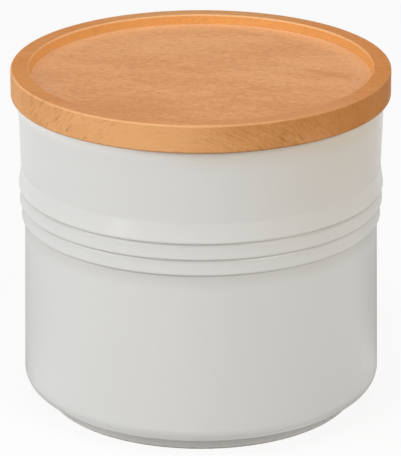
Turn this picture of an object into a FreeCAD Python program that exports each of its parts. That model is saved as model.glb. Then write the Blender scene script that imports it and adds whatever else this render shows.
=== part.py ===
import FreeCAD, Part
import math
import os

# A squat stoneware canister with a turned beech lid and a silicone seal.
# Millimetres, +Z up, origin on the surface it stands on, at the centre of the foot.

# Crock, outside
crock_height = 123.2
rim_radius = 70.4
neck_taper = 0.8            # how much the collar draws in from the rim to the beads
collar_height = 28.5        # from the rim down to where the top bead begins
band_step = 1.1             # how much the wall draws in across the bead band
lower_flare = 1.2           # how much the lower wall spreads again down to the heel
heel_inset = 7.1            # from the widest part of the heel in to the foot
heel_round = 7.2
foot_height = 4.7
foot_taper = 2.2            # how much the foot draws in towards its underside
foot_round = 0.6

# Bead band
bead_count = 3
bead_pitch = 6.4
bead_run_out = 2.0          # how much taller the top bead is than the others
bead_drop = 1.0             # from a bead's crest down to the hollow under it
hollow_depth = 1.1          # how far that hollow lies behind the crest
hollow_flank = 0.6          # height of the lower side of a hollow
hollow_round = 0.3          # glaze lying in the bottom of a hollow
crest_out = 1.1             # how far the top crest stands out from the collar's waist
crest_step = 0.33           # how much further inside the one above it each next crest lies
crest_round = 0.6
flare_out = 0.2             # how far a lower bead spreads down to its crest
flare_height = 3.1
flare_round = 6.0
shoulder_round = 0.5

# Crock, inside and underneath
rim_thickness = 5.4
rim_round = 1.8
wall_thickness = 4.6
floor_thickness = 5.8
inner_heel_round = 9.0
foot_land = 5.0             # width of the flat ring that the crock stands on
base_recess = 2.6           # depth of the hollow inside that ring
recess_lean = 1.5           # how far the side of that hollow leans in

# Lid
lid_overhang = 2.6
lid_edge_height = 10.8
lid_top_round = 1.0
lid_bottom_round = 0.6
tray_rim_width = 7.0        # the raised ring round the tray on top of the lid
tray_depth = 3.85
tray_lean = 0.6             # how far the tray's wall leans in towards its floor
tray_rim_round = 0.6
tray_floor_round = 0.4
plug_depth = 10.6
plug_clearance = 2.4        # space between plug and mouth, bridged by the seal
plug_round = 1.2

# Seal
groove_drop = 3.2           # from the underside of the lid down to the seal's groove
groove_height = 4.2
groove_depth = 2.6
seal_play = 0.3             # running space between the seal and its groove
lip_count = 2
lip_pitch = 1.9
lip_thickness = 0.7
lip_rise = 1.1              # how far a lip bends up from its root to its tip
lip_clearance = 0.3         # between the bent lips and the mouth

# Radii that follow from the rim
mouth_radius = rim_radius - rim_thickness
waist_radius = rim_radius - neck_taper
lower_radius = waist_radius - band_step
inner_radius = lower_radius - wall_thickness
heel_radius = lower_radius + lower_flare
foot_top_radius = heel_radius - heel_inset
foot_radius = foot_top_radius - foot_taper
land_inner_radius = foot_radius - foot_land
lid_radius = rim_radius + lid_overhang
tray_radius = lid_radius - tray_rim_width
plug_radius = mouth_radius - plug_clearance
groove_radius = plug_radius - groove_depth

# Heights that follow from the crock and the lid
band_top = crock_height - collar_height
band_bottom = band_top - bead_run_out - bead_count * bead_pitch
floor_height = base_recess + floor_thickness
lid_top = crock_height + lid_edge_height
tray_floor = lid_top - tray_depth
plug_bottom = crock_height - plug_depth
groove_top = crock_height - groove_drop
groove_bottom = groove_top - groove_height


class Section:
    """Half of a turned piece's section, drawn from point to point as radius and height."""

    def __init__(self, radius, height):
        self.first = FreeCAD.Vector(radius, 0, height)
        self.last = self.first
        self.edges = []

    def line(self, radius, height):
        end = FreeCAD.Vector(radius, 0, height)
        self.edges.append(Part.LineSegment(self.last, end).toShape())
        self.last = end

    def arc(self, middle, end):
        through = FreeCAD.Vector(middle[0], 0, middle[1])
        end = FreeCAD.Vector(end[0], 0, end[1])
        self.edges.append(Part.Arc(self.last, through, end).toShape())
        self.last = end

    def bends(self, corners):
        """Draw on through corners, each a radius, a height and its rounding, and end at the last one."""
        for corner, after in zip(corners, corners[1:]):
            here = FreeCAD.Vector(corner[0], 0, corner[1])
            back = (self.last - here).normalize()
            onward = (FreeCAD.Vector(after[0], 0, after[1]) - here).normalize()
            half = back.getAngle(onward) / 2
            inward = (back + onward).normalize()
            middle = here + inward * corner[2] * (1 / math.sin(half) - 1)
            start = here + back * (corner[2] / math.tan(half))
            end = here + onward * (corner[2] / math.tan(half))
            self.line(start.x, start.z)
            self.arc((middle.x, middle.z), (end.x, end.z))
        self.line(corners[-1][0], corners[-1][1])

    def turned(self):
        """Close the section and turn it once round the Z axis."""
        self.line(self.first.x, self.first.z)
        face = Part.Face(Part.Wire(self.edges))
        return face.revolve(FreeCAD.Vector(0, 0, 0), FreeCAD.Vector(0, 0, 1), 360)


def rounded(solid, radius, corners):
    """Round the circular edges of a turned solid at these corners, each a radius and a height."""
    def at_corner(edge, corner):
        curve = edge.Curve
        if curve.TypeId != "Part::GeomCircle":
            return False
        return math.dist((curve.Radius, curve.Center.z), corner) < 1e-4 and edge.Closed

    edges = [edge for edge in solid.Edges for corner in corners if at_corner(edge, corner)]
    return solid.makeFillet(radius, edges)


def on_arc(centre, radius, degrees):
    """The point of an arc at this angle, measured up from outwards."""
    angle = math.radians(degrees)
    return (centre[0] + radius * math.cos(angle), centre[1] + radius * math.sin(angle))


def bead_corners():
    """The bead band from the bottom up, as corners with a radius, a height and a rounding."""
    corners = []
    for bead in reversed(range(bead_count)):
        hollow = band_bottom + (bead_count - 1 - bead) * bead_pitch
        crest = waist_radius + crest_out - crest_step * bead * (bead + 1) / 2
        lowest = bead == bead_count - 1
        corners.append((lower_radius if lowest else crest - hollow_depth, hollow, hollow_round))
        corners.append((crest, hollow + bead_drop, crest_round))
        if bead:
            shoulder = crest - flare_out
            corners.append((shoulder, hollow + bead_drop + flare_height, flare_round))
            corners.append((shoulder, hollow + bead_pitch - hollow_flank, shoulder_round))
    corners.append((waist_radius, band_top, flare_round))
    return corners


def make_crock():
    section = Section(0, base_recess)
    section.line(land_inner_radius - recess_lean, base_recess)
    section.line(land_inner_radius, 0)
    section.line(foot_radius, 0)
    section.line(foot_top_radius, foot_height)

    # The heel is an arc that leaves the wall upright and ends on top of the foot.
    heel_axis = heel_radius - heel_round
    heel_height = foot_height + math.sqrt(heel_round**2 - (foot_top_radius - heel_axis)**2)
    section.arc(on_arc((heel_axis, heel_height), heel_round, -40), (heel_radius, heel_height))

    section.bends(bead_corners() + [(rim_radius, crock_height)])
    section.line(mouth_radius, crock_height)
    section.line(mouth_radius, band_top)
    section.line(inner_radius, band_bottom)
    inner_heel = (inner_radius - inner_heel_round, floor_height + inner_heel_round)
    section.line(inner_radius, inner_heel[1])
    section.arc(on_arc(inner_heel, inner_heel_round, -45), (inner_heel[0], floor_height))
    section.line(0, floor_height)

    crock = section.turned()
    crock = rounded(crock, rim_round, [(rim_radius, crock_height), (mouth_radius, crock_height)])
    return rounded(crock, foot_round, [(foot_radius, 0), (land_inner_radius, 0)])


def make_lid():
    section = Section(0, plug_bottom)
    section.line(plug_radius, plug_bottom)
    section.line(plug_radius, groove_bottom)
    section.line(groove_radius, groove_bottom)
    section.line(groove_radius, groove_top)
    section.line(plug_radius, groove_top)
    section.line(plug_radius, crock_height)
    section.line(lid_radius, crock_height)
    section.line(lid_radius, lid_top)
    section.line(tray_radius, lid_top)
    section.line(tray_radius - tray_lean, tray_floor)
    section.line(0, tray_floor)

    lid = section.turned()
    lid = rounded(lid, plug_round, [(plug_radius, plug_bottom)])
    lid = rounded(lid, lid_bottom_round, [(lid_radius, crock_height)])
    lid = rounded(lid, lid_top_round, [(lid_radius, lid_top)])
    lid = rounded(lid, tray_rim_round, [(tray_radius, lid_top)])
    return rounded(lid, tray_floor_round, [(tray_radius - tray_lean, tray_floor)])


def make_seal():
    inner = groove_radius + seal_play
    tip_radius = mouth_radius - lip_clearance
    lip_stack = (lip_count - 1) * lip_pitch + lip_thickness
    lip_root = groove_bottom + (groove_height - seal_play - lip_stack) / 2

    section = Section(inner, groove_bottom)
    section.line(plug_radius, groove_bottom)
    for index in range(lip_count):
        low = lip_root + index * lip_pitch
        high = low + lip_thickness
        section.line(plug_radius, low)
        section.line(tip_radius, low + lip_rise)
        section.line(tip_radius, high + lip_rise)
        section.line(plug_radius, high)
    section.line(plug_radius, groove_top - seal_play)
    section.line(inner, groove_top - seal_play)
    return section.turned()


os.makedirs("parts", exist_ok=True)
for name, make in (("crock", make_crock), ("lid", make_lid), ("seal", make_seal)):
    shape = make()
    shape.exportStep(f"parts/{name}.step")
    print(name, shape.isValid(), len(shape.Solids), round(shape.Volume), "mm3")
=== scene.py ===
import math
from types import SimpleNamespace

import bmesh
import bpy
import numpy as np
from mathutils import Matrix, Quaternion, Vector


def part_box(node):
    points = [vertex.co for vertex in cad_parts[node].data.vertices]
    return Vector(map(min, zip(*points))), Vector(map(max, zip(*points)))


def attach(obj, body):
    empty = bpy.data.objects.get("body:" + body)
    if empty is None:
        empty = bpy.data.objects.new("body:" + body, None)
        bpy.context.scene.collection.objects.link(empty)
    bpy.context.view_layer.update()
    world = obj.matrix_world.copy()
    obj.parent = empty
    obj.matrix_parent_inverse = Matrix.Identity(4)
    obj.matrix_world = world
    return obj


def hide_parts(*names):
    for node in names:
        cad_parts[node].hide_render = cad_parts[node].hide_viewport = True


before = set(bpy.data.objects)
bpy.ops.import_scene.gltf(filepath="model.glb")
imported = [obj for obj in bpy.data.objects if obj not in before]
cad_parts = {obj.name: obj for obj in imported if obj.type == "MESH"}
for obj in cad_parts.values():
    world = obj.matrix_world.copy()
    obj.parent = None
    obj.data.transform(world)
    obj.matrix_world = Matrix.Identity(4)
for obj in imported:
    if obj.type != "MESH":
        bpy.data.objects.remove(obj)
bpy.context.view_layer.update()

# The canister's lengths are in millimetres until a mesh is made, the studio's are in metres.
MM = 0.001
PER_MM = 1 / MM

# What the frame settles
crock_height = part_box("crock")[1].z / MM
plug_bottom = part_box("lid")[0].z / MM
lid_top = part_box("lid")[1].z / MM
lid_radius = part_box("lid")[1].x / MM
seal_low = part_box("seal")[0].z / MM
lip_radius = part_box("seal")[1].x / MM

# Crock
rim_radius = 70.4
rim_thickness = 5.4
rim_round = 1.8
neck_taper = 0.8
collar_height = 28.5
band_step = 1.1
lower_flare = 1.2
heel_inset = 5.9
heel_round = 6.2
heel_steps = 24
foot_taper = 3.2
foot_height = 5.25
foot_land = 5.0
foot_round = 0.6
base_recess = 2.6
recess_lean = 1.5
floor_height = 8.4
wall_thickness = 4.6
inner_wall_round = 20.0
inner_heel_round = 9.0
waist_radius = rim_radius - neck_taper
lower_radius = waist_radius - band_step
heel_radius = lower_radius + lower_flare
foot_top_radius = heel_radius - heel_inset
foot_radius = foot_top_radius - foot_taper

# Bead band
bead_count = 3
bead_pitch = 6.4
bead_run_out = 2.0
bead_drop = 1.0
hollow_depth = 1.1
hollow_flank = 0.6
hollow_round = 0.2
crest_out = 1.1
crest_step = 0.33
crest_round = 0.9
flare_out = 0.2
flare_height = 3.1
flare_round = 6.0
shoulder_round = 0.3
crest_radius = waist_radius + crest_out
band_top = crock_height - collar_height
band_bottom = band_top - bead_run_out - bead_count * bead_pitch
hollow_heights = [band_bottom + step * bead_pitch for step in range(bead_count)]

# Where the glaze pools and thins, with painted shade in the hollows and the crease over the foot, and painted
# light just above the crests
pool_width = 0.65
pool_lift = 0.15
crease_width = 0.7
crease_darkness = 2.0
crease_inset = 1.0
crest_lift = 2.4
crest_width = 0.8

# Lid
tray_rim_width = 7.0
tray_depth = 3.85
tray_lean = 0.6
lid_top_round = 1.0
lid_bottom_round = 0.6
tray_rim_round = 0.6
tray_floor_round = 0.4
plug_clearance = 2.4
plug_round = 1.2
plug_root_round = 0.5
tray_radius = lid_radius - tray_rim_width
tray_floor_radius = tray_radius - tray_lean
tray_floor = lid_top - tray_depth
plug_radius = rim_radius - rim_thickness - plug_clearance

# Seal and its groove in the plug
groove_drop = 3.2
groove_height = 4.2
groove_depth = 2.6
groove_round = 0.2
seal_play = 0.3
lip_count = 2
lip_pitch = 1.9
lip_thickness = 0.7
lip_rise = 1.1
lip_round = 0.3
lip_root_round = 0.1
seal_start = seal_low + 2.0
seal_end = seal_low + 2.1

# How finely the pieces are turned
turn_steps = 240
sharp_angle = math.radians(40)
on_axis = 1e-6


def srgb(red, green, blue):
    """A colour as it is seen on a screen, 0 to 255, as the linear colour that a shader takes."""
    def linear(level):
        level = level / 255
        return level / 12.92 if level <= 0.04045 else ((level + 0.055) / 1.055) ** 2.4
    return (linear(red), linear(green), linear(blue), 1.0)


class Flow:
    """One output of a finish's nodes. Sums and products of flows and numbers add Math nodes."""

    def __init__(self, finish, socket):
        self.finish = finish
        self.socket = socket

    def out(self, name):
        """Another output of the same node."""
        return Flow(self.finish, self.socket.node.outputs[name])

    def math(self, operation, first, second):
        return self.finish.node("Math", {"operation": operation}, {0: first, 1: second})

    def __add__(self, other):
        return self.math("ADD", self, other)

    def __radd__(self, other):
        return self.math("ADD", other, self)

    def __sub__(self, other):
        return self.math("SUBTRACT", self, other)

    def __rsub__(self, other):
        return self.math("SUBTRACT", other, self)

    def __mul__(self, other):
        return self.math("MULTIPLY", self, other)

    def __rmul__(self, other):
        return self.math("MULTIPLY", other, self)

    def __abs__(self):
        return self.math("ABSOLUTE", self, 0.0)

    def between(self, low, high):
        """0 below low, 1 above high, and a smooth step between them."""
        limits = {"Value": self, "From Min": low, "From Max": high}
        return self.finish.node("MapRange", {"interpolation_type": "SMOOTHSTEP"}, limits)


class Finish:
    """The node tree of a material or of the world."""

    def __init__(self, owner):
        owner.use_nodes = True
        self.owner = owner
        self.tree = owner.node_tree
        self.tree.nodes.clear()

    def node(self, kind, settings=None, sockets=None, out=0):
        """Adds a node, sets it up, fills or links its sockets, and gives one of its outputs."""
        node = self.tree.nodes.new("ShaderNode" + kind)
        for name, value in (settings or {}).items():
            setattr(node, name, value)
        for name, value in (sockets or {}).items():
            if isinstance(value, Flow):
                self.tree.links.new(value.socket, node.inputs[name])
            else:
                node.inputs[name].default_value = value
        return Flow(self, node.outputs[out])

    def blend(self, share, first, second):
        """A colour between two others."""
        return self.node("Mix", {"data_type": "RGBA"}, {0: share, 6: first, 7: second}, out=2)

    def length(self, vector):
        return self.node("VectorMath", {"operation": "LENGTH"}, {0: vector}, out="Value")

    def parted(self, vector):
        """The X of a vector, with its Y and Z as other outputs."""
        return self.node("SeparateXYZ", sockets={"Vector": vector})

    def end(self, surface, kind="OutputMaterial"):
        """Puts a surface on the material or the world, and gives that back."""
        last = self.tree.nodes.new("ShaderNode" + kind)
        self.tree.links.new(surface.socket, last.inputs["Surface"])
        return self.owner


def new_finish(name):
    return Finish(bpy.data.materials.new(name))


def arc(centre, radius, first, last, steps):
    """Points of an arc between two angles, in degrees up from outwards."""
    angles = np.radians(np.linspace(first, last, steps + 1))
    return [(centre[0] + radius * math.cos(a), centre[1] + radius * math.sin(a)) for a in angles]


def rounded(corners, steps=8):
    """An outline through corners, each a radius, a height and, apart from the two ends, a rounding."""
    points = [tuple(corners[0][:2])]
    for before, corner, after in zip(corners, corners[1:], corners[2:]):
        here = np.array(corner[:2])
        size = corner[2]
        back = np.array(before[:2]) - here
        on = np.array(after[:2]) - here
        back = back / np.linalg.norm(back)
        on = on / np.linalg.norm(on)
        half = math.acos(np.clip(back @ on, -1, 1)) / 2
        middle = (back + on) / np.linalg.norm(back + on)
        centre = here + middle * size / math.sin(half)
        first = math.degrees(math.atan2(*(here + back * size / math.tan(half) - centre)[::-1]))
        last = math.degrees(math.atan2(*(here + on * size / math.tan(half) - centre)[::-1]))
        last = first + (last - first + 180) % 360 - 180
        points += arc(centre, size, first, last, steps)
    return points + [tuple(corners[-1][:2])]


def supported(points, edge=0.3, longest=6.0):
    """The same outline with points close to the ends of its long runs, so that shading stays crisp there."""
    made = [points[0]]
    for start, end in zip(points, points[1:]):
        start, end = np.array(start), np.array(end)
        length = np.linalg.norm(end - start)
        if length > 4 * edge:
            count = max(1, math.ceil((length - 2 * edge) / longest))
            shares = np.linspace(edge / length, 1 - edge / length, count + 1)
            made += [tuple(start + (end - start) * share) for share in shares]
        made.append(tuple(end))
    return made


def lathe(name, outline, closed=False, depth=None):
    """A mesh turned about Z. Points on the axis close it, and depth is how deep glaze lies at each point,
    with painted shade where it pools and painted light where it thins.
    """
    mesh = bmesh.new()
    layer = mesh.verts.layers.float.new("pool_shade_light")
    turns = [2 * math.pi * step / turn_steps for step in range(turn_steps)]
    rings = []
    for index, (radius, height) in enumerate(outline):
        angles = turns if radius > on_axis else [0]
        ring = [mesh.verts.new(Vector((math.cos(a), math.sin(a), 0)) * radius * MM) for a in angles]
        for vert in ring:
            vert.co.z = height * MM
            vert[layer] = depth[index] if depth else 0
        rings.append(ring)
    if closed:
        rings.append(rings[0])
    for low, high in zip(rings, rings[1:]):
        for step in range(turn_steps):
            on = step + 1
            corners = [low[step % len(low)], low[on % len(low)]]
            corners += [high[on % len(high)], high[step % len(high)]]
            mesh.faces.new(list(dict.fromkeys(corners)))
    bmesh.ops.recalc_face_normals(mesh, faces=mesh.faces)
    data = bpy.data.meshes.new(name)
    mesh.to_mesh(data)
    mesh.free()
    data.polygons.foreach_set("use_smooth", [True] * len(data.polygons))
    data.set_sharp_from_angle(angle=sharp_angle)
    piece = bpy.data.objects.new(name, data)
    bpy.context.scene.collection.objects.link(piece)
    return piece


def stand_in(piece, node, finish):
    """Puts a finished piece in the place of the CAD node of the same body."""
    piece.data.materials.append(finish)
    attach(piece, node)
    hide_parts(node)


def bead_corners():
    """The bead band from the bottom up: the hollow under each bead, its crest, its flare and its shoulder."""
    corners = []
    for bead, hollow in zip(reversed(range(bead_count)), hollow_heights):
        crest = crest_radius - crest_step * bead * (bead + 1) / 2
        lowest = hollow == band_bottom
        corners.append((lower_radius if lowest else crest - hollow_depth, hollow, hollow_round))
        corners.append((crest, hollow + bead_drop, crest_round))
        if bead:
            shoulder = crest - flare_out
            corners.append((shoulder, hollow + bead_drop + flare_height, flare_round))
            corners.append((shoulder, hollow + bead_pitch - hollow_flank, shoulder_round))
    return corners + [(waist_radius, band_top, flare_round)]


def pool_shade_light_at(radius, height):
    """How deep glaze lies at a point of the outside, which also sets painted shade and light.

    It is 1 in the bottom of a hollow, where glaze pools and shade is painted, -1 just above each crest, where
    it thins and light is painted, and deepest in the crease over the foot, where shade is painted.
    """
    if radius < lower_radius - crease_inset:
        crease = math.dist((radius, height), (foot_top_radius, foot_height))
        return crease_darkness * math.exp(-((crease / crease_width) ** 2))
    deep = sum(math.exp(-(((height - hollow - pool_lift) / pool_width) ** 2)) for hollow in hollow_heights)
    # Painted light just above each crest, where the glaze also thins
    thin_and_lit = sum(math.exp(-(((height - hollow - crest_lift) / crest_width) ** 2)) for hollow in hollow_heights)
    return deep - thin_and_lit * (1 - min(deep, 1))


def turn_crock():
    """The pot: foot ring, heel, beaded wall, rim and hollow inside, as one fired piece."""
    heel_axis = heel_radius - heel_round
    heel_start = -math.degrees(math.acos((foot_top_radius - heel_axis) / heel_round))
    heel_height = foot_height - heel_round * math.sin(math.radians(heel_start))
    land_inner = foot_radius - foot_land
    mouth_radius = rim_radius - rim_thickness
    inner_radius = lower_radius - wall_thickness
    under = rounded([
        (0, base_recess),
        (land_inner - recess_lean, base_recess, recess_lean),
        (land_inner, 0, foot_round),
        (foot_radius, 0, foot_round),
        (foot_top_radius, foot_height),
    ])
    heel = arc((heel_axis, heel_height), heel_round, heel_start, 0, heel_steps)
    wall = rounded([(heel_radius, heel_height)] + bead_corners() + [
        (rim_radius, crock_height, rim_round),
        (mouth_radius, crock_height, rim_round),
        (mouth_radius, band_top, inner_wall_round),
        (inner_radius, band_bottom, inner_wall_round),
        (inner_radius, floor_height, inner_heel_round),
        (0, floor_height),
    ], steps=10)
    outline = supported(under[:-1] + heel) + supported(wall)[1:]
    depth = [pool_shade_light_at(radius, height) for radius, height in outline]
    return lathe("crock_body", outline, depth=depth)


def turn_lid():
    """One turned board: tray with its raised rim above, plug with the seal's groove below."""
    groove_top = crock_height - groove_drop
    groove_bottom = groove_top - groove_height
    groove_radius = plug_radius - groove_depth
    outline = rounded([
        (0, plug_bottom),
        (plug_radius, plug_bottom, plug_round),
        (plug_radius, groove_bottom, groove_round),
        (groove_radius, groove_bottom, groove_round),
        (groove_radius, groove_top, groove_round),
        (plug_radius, groove_top, groove_round),
        (plug_radius, crock_height, plug_root_round),
        (lid_radius, crock_height, lid_bottom_round),
        (lid_radius, lid_top, lid_top_round),
        (tray_radius, lid_top, tray_rim_round),
        (tray_floor_radius, tray_floor, tray_floor_round),
        (0, tray_floor),
    ])
    return lathe("lid_board", supported(outline))


def mould_seal():
    """The ring in the plug's groove, with its lips bent up by the mouth."""
    inner = plug_radius - groove_depth + seal_play
    top = seal_low + groove_height - seal_play
    stack = (lip_count - 1) * lip_pitch + lip_thickness
    root = seal_low + (groove_height - seal_play - stack) / 2
    corners = [(inner, seal_start), (inner, seal_low, lip_round), (plug_radius, seal_low, lip_round)]
    for index in range(lip_count):
        low = root + index * lip_pitch
        high = low + lip_thickness
        corners += [
            (plug_radius, low, lip_root_round),
            (lip_radius, low + lip_rise, lip_round),
            (lip_radius, high + lip_rise, lip_round),
            (plug_radius, high, lip_root_round),
        ]
    corners += [(plug_radius, top, lip_round), (inner, top, lip_round), (inner, seal_end)]
    return lathe("seal_ring", supported(rounded(corners, steps=4)), closed=True)


# Beech
PANEL_PALE = srgb(244, 182, 130)
PANEL_DEEP = srgb(218, 151, 99)
PANEL_BOUNCE_LIT = srgb(255, 198, 144)
EDGE_PALE = srgb(218, 159, 104)
EDGE_DEEP = srgb(192, 128, 70)
EDGE_SHADED = srgb(184, 110, 30)
EDGE_LIT = srgb(248, 188, 132)
WALL_LIT = srgb(252, 185, 106)
RIM_WARM = srgb(232, 142, 66)
BEECH_FLECK = srgb(128, 64, 22)
BEECH_WORN_AND_LIT = srgb(252, 202, 150)
BEECH_SHADED = srgb(140, 98, 66)
board_turn = (math.radians(28), 0, math.radians(-9))
board_drift = 3.0
patch_depth = 10000.0

# Soft patches of the board: place along X and Y, length, width, turn in degrees, and how much deeper
TONE_PATCHES = [
    (50, 2, 18, 5, -29, 0.6),
    (-20, -45, 40, 22, -10, 0.4),
    (-32, -32, 34, 22, -8, 0.35),
    (40, -36, 26, 16, 10, 0.3),
    (0, 6, 30, 9, 0, 0.25),
    (0, 40, 40, 16, 0, -0.3),
    (-12, -68, 52, 26, 0, -0.5),
]
# The patch of painted shade on the edge's right: place along X and Y, length, width and turn in degrees
SHADED_EDGE_PATCH = (66, -30, 42, 56, 0)

# Bands of the lid that differ in tone: how far from a wall, a floor or an edge each begins and is full
inside_band = 0.2
floor_band = (1.15, 0.15)
wall_band = (0.1, 0.4)
wall_bounce_band = 12.0
rim_band = (0.3, 0.1)
arris_band = (0.75, 0.62)
inner_arris_band = (0.6, 0.45)
inner_arris_drop = (0.7, 0.5)
low_arris_band = (1.5, 0.5)
low_arris_rise = (0.1, 0.8)

# Stretches of the lid over which a tone changes, from left to right or from front to back
wall_bounce_stretch = (-45, 5)
face_stretch = (-55, -25)
rim_back_stretch = (45, 70)
oiled_stretch = (50, 72)
light_left_stretch = (-80, -40)
light_right_stretch = (-25, 30)
fleck_middle = -6
fleck_stretch = (12, 36)
highlight_right_stretch = (0, 60)
highlight_back_stretch = (0, 50)


def lid_parts(finish, place):
    """Masks that tell the parts of the lid apart, with the side and depth of a place on it."""
    point = finish.parted(place)
    side = point * PER_MM
    depth = point.out("Y") * PER_MM
    height = point.out("Z") * PER_MM
    flat = finish.node("VectorMath", {"operation": "MULTIPLY"}, {0: place, 1: (1, 1, 0)})
    radius = finish.length(flat) * PER_MM
    inside = 1 - radius.between(tray_radius, tray_radius + inside_band)
    panel = 1 - radius.between(tray_floor_radius - inside_band, tray_floor_radius)
    panel = panel * height.between(tray_floor - floor_band[0], tray_floor - floor_band[1])
    wall = inside * height.between(tray_floor + wall_band[0], tray_floor + wall_band[1])
    wall_bounce_lit = radius.between(tray_radius - wall_bounce_band, tray_floor_radius) * panel
    wall_bounce_lit = wall_bounce_lit * depth.between(*wall_bounce_stretch)
    rim = height.between(lid_top - rim_band[0], lid_top - rim_band[1])
    face = panel + rim * (1 - depth.between(*face_stretch))
    edge = (1 - face) * (1 - rim) * (1 - wall)

    outer_corner = lid_radius + lid_top
    arris = (radius + height).between(outer_corner - arris_band[0], outer_corner - arris_band[1])
    inner_corner = lid_top - tray_radius
    start, full = inner_arris_band
    inner_arris = (height - radius).between(inner_corner - start, inner_corner - full)
    inner_arris = inner_arris * height.between(lid_top - inner_arris_drop[0], lid_top - inner_arris_drop[1])
    shaded_low_arris = 1 - height.between(crock_height + low_arris_rise[0], crock_height + low_arris_rise[1])
    shaded_low_arris = shaded_low_arris * radius.between(lid_radius - low_arris_band[0], lid_radius - low_arris_band[1])
    return SimpleNamespace(
        side=side, depth=depth, wall=wall, wall_bounce_lit=wall_bounce_lit, rim=rim, face=face, edge=edge,
        arris=arris, inner_arris=inner_arris, shaded_low_arris=shaded_low_arris,
    )


def oiled_beech():
    """A flat-sawn board: soft tones, fine short fibres, and the thin dark flecks of its rays."""
    finish = new_finish("oiled_beech")
    place = finish.node("TexCoord", out="Object")
    drift = finish.node("TexNoise", sockets={"Vector": place, "Scale": 16.0, "Detail": 1.0}, out="Color")
    reach = (board_drift * MM,) * 3
    bent = finish.node("VectorMath", {"operation": "MULTIPLY_ADD"}, {0: drift, 1: reach, 2: place})

    def spot(turn, size, location=(0, 0, 0)):
        """Places in the board, turned and in steps of a size."""
        sockets = {"Vector": bent, "Location": location, "Rotation": turn, "Scale": size}
        return finish.node("Mapping", {"vector_type": "TEXTURE"}, sockets)

    def board(along, across, through):
        """Places in steps of these lengths along the grain, across the rays and through the rings."""
        return spot(board_turn, (along * MM, across * MM, through * MM))

    def noise(size, detail=2.0):
        return finish.node("TexNoise", sockets={"Vector": board(*size), "Scale": 1.0, "Detail": detail})

    def flecks(size, kept, reach):
        """Thin blades lying along the grain, a share of them kept, each with its own strength."""
        cell = finish.node("TexVoronoi", sockets={"Vector": board(*size), "Scale": 1.0}, out="Distance")
        strength = finish.parted(cell.out("Color"))
        blade = 1 - cell.between(reach * 0.6, reach)
        return blade * strength.between(1 - kept, 1.1 - kept)

    def patch(x, y, long, wide, turn):
        """A soft patch of the board, 1 in its middle, that reaches all the way through."""
        middle = (x * MM, y * MM, 0)
        size = (long * MM, wide * MM, patch_depth * MM)
        return 1 - finish.length(spot((0, 0, math.radians(turn)), size, middle)).between(0, 1)

    broad = noise((45, 14, 14))
    fibre = noise((3.0, 0.27, 0.4), detail=3.0)
    long_fibre = noise((10.0, 0.3, 0.45))
    grit = noise((0.9, 0.2, 0.3), detail=1.0)
    sheets = noise((8.0, 0.3, 3.5))
    clumps = noise((16, 10, 12)).between(0.4, 0.6)
    rays = flecks((6.0, 0.36, 9.0), kept=0.4, reach=0.4) * clumps
    fine_rays = flecks((2.4, 0.26, 3.6), kept=0.4, reach=0.4)
    pores = flecks((2.6, 0.6, 0.6), kept=0.25, reach=0.45)
    lid = lid_parts(finish, place)

    # The tone runs from 0, pale, to 1, deep. Fibres show most inside and on the rim, ray sheets on the edge.
    lively = 0.3 + lid.face * 0.7 + lid.rim * (1 - lid.face) * 1.2 + lid.wall * 0.65
    tone = 0.5 + (broad - 0.5) * 1.5
    tone = tone + ((fibre - 0.5) * 3.8 + (grit - 0.5) * 1.5) * lively
    tone = tone + (long_fibre - 0.5) * 2.0 * lively
    tone = tone + (sheets - 0.5) * 1.3 * lid.edge
    tone = tone + lid.rim * (lid.face - lid.depth.between(*rim_back_stretch)) * 0.9
    # Painted light and shade: the tray is painted paler near its back wall, and the edge and rim deepen to
    # the right
    tone = tone - lid.wall_bounce_lit * 0.4 + lid.side * 0.004 * (1 - lid.face)
    for *place_and_size, deeper in TONE_PATCHES:
        tone = tone + patch(*place_and_size) * deeper
    pale = finish.blend(lid.face, EDGE_PALE, PANEL_PALE)
    deep = finish.blend(lid.face, EDGE_DEEP, PANEL_DEEP)
    colour = finish.blend(tone, pale, deep)

    # The tray is paler than the rim and edge, which hands keep oiled. Near its back wall the tray is painted
    # paler still, and its wall brighter, as painted light; the edge has painted light on its left and painted
    # shade on its right.
    oiled_rim = lid.rim * (1 - lid.face) * (1 - lid.depth.between(*oiled_stretch))
    # Painted shade on the edge's right and painted light on its left, where the light falls from the left
    shaded_edge = patch(*SHADED_EDGE_PATCH) * (1 - lid.face) * (1 - lid.rim)
    lit_edge = lid.side.between(*light_left_stretch) * (1 - lid.side.between(*light_right_stretch))
    lit_edge = lit_edge * lid.edge
    colour = finish.blend(oiled_rim * 0.4, colour, RIM_WARM)
    # Painted light bounced from the back wall onto the tray
    colour = finish.blend(lid.wall_bounce_lit * lid.wall_bounce_lit * 0.6, colour, PANEL_BOUNCE_LIT)
    colour = finish.blend(shaded_edge * 0.4, colour, EDGE_SHADED)
    colour = finish.blend(lit_edge * 0.42, colour, EDGE_LIT)
    # Painted light: the tray's wall is painted brighter and warmer
    colour = finish.blend(lid.wall * 0.5, colour, WALL_LIT)

    # Flecks show most on the edge, away from the middle of its front.
    flecked = 0.25 + 0.75 * abs(lid.side - fleck_middle).between(*fleck_stretch)
    flecked = flecked * (1 - lid.face * 0.8) * (1 - lid.wall * 0.7) * (1 - lid.rim * 0.8)
    colour = finish.blend(pores * lid.face * 0.22, colour, BEECH_FLECK)
    colour = finish.blend(fine_rays * flecked * 0.25, colour, BEECH_FLECK)
    colour = finish.blend(rays * flecked * 0.6, colour, BEECH_FLECK)

    # The upper corners are paler from wear and a painted highlight, fading to the right; the lower corner has
    # painted shade.
    wear_and_highlight = lid.arris * (0.4 - lid.side.between(*highlight_right_stretch) * 0.2)
    wear_and_highlight = wear_and_highlight + lid.inner_arris * (0.25 + lid.depth.between(*highlight_back_stretch) * 0.45)
    colour = finish.blend(wear_and_highlight, colour, BEECH_WORN_AND_LIT)
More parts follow.
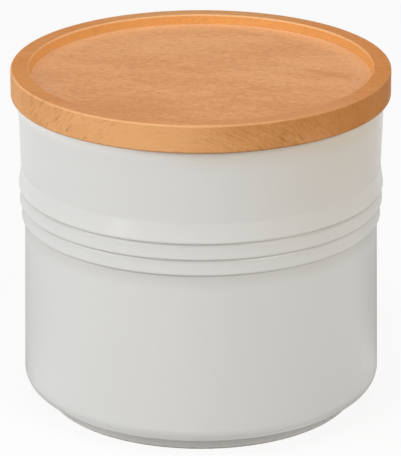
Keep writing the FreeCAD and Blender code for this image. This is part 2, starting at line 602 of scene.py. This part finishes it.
    # Painted shade on the lower corner, which faces down into the gap over the pot
    colour = finish.blend(lid.shaded_low_arris * 0.6, colour, BEECH_SHADED)
    relief = fibre * 0.4 - rays * 0.25
    surface = finish.node("BsdfPrincipled", sockets={
        "Base Color": colour,
        "Roughness": 0.55 + (fibre - 0.5) * 0.2 + rays * 0.1,
        "Specular IOR Level": 0.06,
        "Normal": finish.node("Bump", sockets={"Strength": 0.2, "Distance": 0.0002, "Height": relief}),
    })
    return finish.end(surface)


# Glaze and clay
GLAZE = srgb(218, 218, 216)
GLAZE_POOLED_SHADED = srgb(150, 139, 124)
GLAZE_THIN_LIT = srgb(226, 226, 223)
GLAZE_WARM_SHADE = srgb(214, 204, 190)
GLAZE_BRIGHT = srgb(244, 243, 240)
CLAY = srgb(178, 163, 140)
CLAY_SPECK = srgb(130, 111, 88)

# Bands of painted shade and light on the glaze, as heights under the rim, and the height over the ground
# where the glaze stops
lid_shade_depth = 10.0
warm_right_depths = (58.0, 6.0)
lit_left_depths = (6.0, 1.0)
glaze_stop = (0.4, 0.8)
glaze_stop_sway = 0.3

# Stretches over which those bands and the grooves change, from left to right
groove_stretch = (20, 60)
lid_shade_stretch = (-25, 5)
warm_right_stretch = (0, 70)
lit_left_stretch = (-30, 10)


def white_glaze():
    """Glossy off-white glaze, deeper in the grooves where it pools and shade is painted, that stops short of
    the foot's bare clay.

    It has painted warm shade on the right and just under the lid, and painted light close to the lid on the
    left.
    """
    finish = new_finish("off_white_glaze")
    place = finish.node("TexCoord", out="Object")

    def noise(scale, detail=2.0):
        return finish.node("TexNoise", sockets={"Vector": place, "Scale": scale, "Detail": detail})

    cloud = noise(24.0, detail=3.0)
    peel = noise(420.0, detail=1.0)
    sway = noise(38.0, detail=1.0)
    speckle = noise(900.0, detail=3.0)
    pool_shade_light = finish.node("Attribute", {"attribute_name": "pool_shade_light"}, out="Fac")
    point = finish.parted(place)
    side = point * PER_MM
    height = point.out("Z") * PER_MM
    # Painted shade and pooled glaze in the hollows and the crease, with more painted shade to the right
    deep = pool_shade_light * (0.32 + side.between(*groove_stretch) * 0.1) + (cloud - 0.5) * 0.06
    colour = finish.blend(deep, GLAZE, GLAZE_POOLED_SHADED)
    # Painted light just above each crest, where the glaze also thins
    colour = finish.blend(pool_shade_light * -0.4, colour, GLAZE_THIN_LIT)

    # Painted warm shade just under the lid, towards the right, and down the right side of the pot
    lid_shade = height.between(crock_height - lid_shade_depth, crock_height)
    lid_shade = lid_shade * side.between(*lid_shade_stretch)
    warm_right_shade = height.between(crock_height - warm_right_depths[0], crock_height - warm_right_depths[1])
    warm_right_shade = warm_right_shade * side.between(*warm_right_stretch)
    # Painted light close to the lid on the left
    lit_left = height.between(crock_height - lit_left_depths[0], crock_height - lit_left_depths[1])
    lit_left = lit_left * (1 - side.between(*lit_left_stretch))
    colour = finish.blend(lid_shade * 0.6 + warm_right_shade * 0.75, colour, GLAZE_WARM_SHADE)
    colour = finish.blend(lit_left * 0.5, colour, GLAZE_BRIGHT)
    bare = 1 - (height + (noise(160.0) - 0.5) * glaze_stop_sway).between(*glaze_stop)
    clay = finish.blend(speckle.between(0.52, 0.66), CLAY, CLAY_SPECK)
    relief = peel * 0.25 + sway * 1.0
    surface = finish.node("BsdfPrincipled", sockets={
        "Base Color": finish.blend(bare, colour, clay),
        "Roughness": 0.22 + (cloud - 0.5) * 0.06 + bare * 0.6,
        "Normal": finish.node("Bump", sockets={"Strength": 0.10, "Distance": 0.0004, "Height": relief}),
    })
    return finish.end(surface)


# Silicone
SILICONE = srgb(238, 237, 232)
SILICONE_DUST = srgb(224, 221, 213)


def milky_silicone():
    """Soft milky silicone with a matt moulded skin."""
    finish = new_finish("milky_silicone")
    place = finish.node("TexCoord", out="Object")
    cloud = finish.node("TexNoise", sockets={"Vector": place, "Scale": 60.0, "Detail": 3.0})
    skin = finish.node("TexNoise", sockets={"Vector": place, "Scale": 2500.0, "Detail": 2.0})
    surface = finish.node("BsdfPrincipled", sockets={
        "Base Color": finish.blend(cloud.between(0.35, 0.75), SILICONE, SILICONE_DUST),
        "Roughness": 0.5 + (cloud - 0.5) * 0.2,
        "Normal": finish.node("Bump", sockets={"Strength": 0.2, "Distance": 0.0001, "Height": skin}),
    })
    return finish.end(surface)


# Studio, with lengths in metres
PAPER = srgb(250, 250, 250)
WHITE = (1, 1, 1, 1)
BOUNCE = (0.65, 0.65, 0.65, 1)
CONTACT_DARK = (0.25, 0.25, 0.25, 1)
LIGHT_LEFT = (0.25, 0.25, 0.25, 1)
LIGHT_RIGHT = (0.21, 0.21, 0.20, 1)
LAMP_WHITE = (1.0, 1.0, 1.0)
LAMP_WARM = (1.0, 0.955, 0.89)
lamp_aim = Vector((0, 0, 0.07))
floor_reach = 4.0
floor_glow = 0.88
card_inner = 0.05
card_outer = 0.8
card_rise = 0.0005
card_fade = (0.15, 0.35)
card_fade_share = 0.8
card_steps = 24
contact_outer = 0.1
contact_rise = 0.001
contact_fade = (0.066, 0.095)
contact_way = (0.55, 0.95)
contact_share = 0.8


def seen_directly(finish):
    """1 for rays from the camera, from gloss and through glass."""
    camera = finish.node("LightPath", out="Is Camera Ray")
    mirrored = camera.math("MAXIMUM", camera.out("Is Glossy Ray"), camera.out("Is Transmission Ray"))
    return camera.math("MAXIMUM", camera, mirrored)


def white_paper():
    """Floor that looks white, still takes the object's shadow, and throws less light back than it shows."""
    finish = new_finish("white_paper")
    matt = finish.node("BsdfDiffuse", sockets={"Color": PAPER})
    glow = finish.node("Emission", sockets={"Color": WHITE, "Strength": 1.0})
    dim = finish.node("BsdfDiffuse", sockets={"Color": BOUNCE})
    seen = finish.node("MixShader", sockets={0: floor_glow, 1: matt, 2: glow})
    return finish.end(finish.node("MixShader", sockets={0: seen_directly(finish), 1: dim, 2: seen}))


def lay_floor():
    bpy.ops.mesh.primitive_circle_add(vertices=64, radius=floor_reach, fill_type="NGON")
    floor = bpy.context.object
    floor.name = "floor"
    floor.data.materials.append(white_paper())


def from_middle(finish):
    """The direction from the middle of the floor, as X with Y and Z as other outputs, and the distance."""
    place = finish.node("TexCoord", out="Object")
    way = finish.node("VectorMath", {"operation": "NORMALIZE"}, {0: place})
    return finish.parted(way), finish.length(place)


def mirrored_floor_shade(shade, first, last):
    """A card of painted shade for reflections: darker towards the back, between two directions along Y, and
    paler further out, as the floor's shade beside the pot.
    """
    finish = new_finish("mirrored_floor_shade")
    way, reach = from_middle(finish)
    share = way.out("Y").between(first, last) * (1 - reach.between(*card_fade) * card_fade_share)
    colour = finish.blend(share, WHITE, (shade, shade, shade, 1))
    return finish.end(finish.node("Emission", sockets={"Color": colour}))


def contact_shade():
    """The dark close to the foot on its left and right, clear everywhere else."""
    finish = new_finish("contact_shade")
    way, reach = from_middle(finish)
    share = (1 - reach.between(*contact_fade)) * abs(way).between(*contact_way) * contact_share
    clear = finish.node("BsdfTransparent")
    dark = finish.node("Emission", sockets={"Color": CONTACT_DARK})
    return finish.end(finish.node("MixShader", sockets={0: share, 1: clear, 2: dark}))


def lay_card(name, start, end, card, rise=card_rise, outer=card_outer):
    """Lays a card of painted shade on the floor between two angles from the right, which shows in reflections
    alone.
    """
    mesh = bmesh.new()
    turns = np.radians(np.linspace(start, end, card_steps + 1))

    def ring(radius):
        return [mesh.verts.new((radius * math.cos(a), radius * math.sin(a), rise)) for a in turns]

    near = ring(card_inner)
    far = ring(outer)
    for step in range(card_steps):
        mesh.faces.new([near[step], near[step + 1], far[step + 1], far[step]])
    data = bpy.data.meshes.new(name)
    mesh.to_mesh(data)
    mesh.free()
    data.materials.append(card)
    piece = bpy.data.objects.new(name, data)
    bpy.context.scene.collection.objects.link(piece)
    for ray in ("camera", "diffuse", "transmission", "volume_scatter", "shadow"):
        setattr(piece, "visible_" + ray, False)


def light_room():
    """Even light all round, a little brighter and cooler from the left, warmer from the right."""
    world = bpy.data.worlds.new("studio")
    bpy.context.scene.world = world
    finish = Finish(world)
    side = finish.parted(finish.node("TexCoord", out="Generated"))
    light = finish.blend(side.between(-0.8, 0.8), LIGHT_LEFT, LIGHT_RIGHT)
    colour = finish.blend(seen_directly(finish), light, PAPER)
    finish.end(finish.node("Background", sockets={"Color": colour}), "OutputWorld")


def soft_box(name, place, size, power, colour):
    lamp = bpy.data.lights.new(name, "AREA")
    lamp.shape = "SQUARE"
    lamp.size = size
    lamp.energy = power
    lamp.color = colour
    box = bpy.data.objects.new(name, lamp)
    box.location = place
    box.rotation_euler = (lamp_aim - box.location).to_track_quat("-Z", "Y").to_euler()
    bpy.context.scene.collection.objects.link(box)


# Camera, fitted to the outline in the 401 by 456 picture
camera_distance = 1.25
camera_elevation = math.radians(20.72)
camera_roll = math.radians(0.08)
orbit_middle = Vector((0, 0, 0.065))
camera_aim = Vector((-0.0002, 0, 0.0670))
pixels_per_mm = 2.558
focal_pixels = pixels_per_mm * camera_distance * PER_MM
picture_height = 456
sensor = 36.0


def set_camera():
    data = bpy.data.cameras.new("camera")
    data.sensor_width = sensor
    data.lens = sensor * focal_pixels / picture_height
    camera = bpy.data.objects.new("camera", data)
    back = Vector((0, -math.cos(camera_elevation), math.sin(camera_elevation)))
    camera.location = orbit_middle + back * camera_distance
    aim = camera_aim - camera.location
    turned = aim.to_track_quat("-Z", "Y") @ Quaternion((0, 0, 1), -camera_roll)
    camera.rotation_euler = turned.to_euler()
    bpy.context.scene.collection.objects.link(camera)
    bpy.context.scene.camera = camera


stand_in(turn_crock(), "crock", white_glaze())
stand_in(turn_lid(), "lid", oiled_beech())
stand_in(mould_seal(), "seal", milky_silicone())

lay_floor()
# Cards of painted shade that show only in reflections: the floor's shade beside and behind the pot, and close
# to its foot
lay_card("card_left", 90, 215, mirrored_floor_shade(shade=0.52, first=-0.4, last=0.35))
lay_card("card_right", 10, 90, mirrored_floor_shade(shade=0.45, first=0.05, last=0.5))
lay_card("card_under", 0, 360, contact_shade(), rise=contact_rise, outer=contact_outer)
light_room()
soft_box("window_left", (-1.25, -0.60, 0.72), size=1.4, power=16.4, colour=LAMP_WHITE)
soft_box("lamp_right", (0.95, -0.90, 0.75), size=0.9, power=9.8, colour=LAMP_WARM)
soft_box("strip_left", (-0.646, -0.576, 0.05), size=0.14, power=0.16, colour=LAMP_WHITE)
soft_box("lamp_above", (0.0, 0.1, 1.25), size=0.9, power=3.0, colour=LAMP_WHITE)
set_camera()
bpy.context.scene.view_settings.view_transform = "Standard"
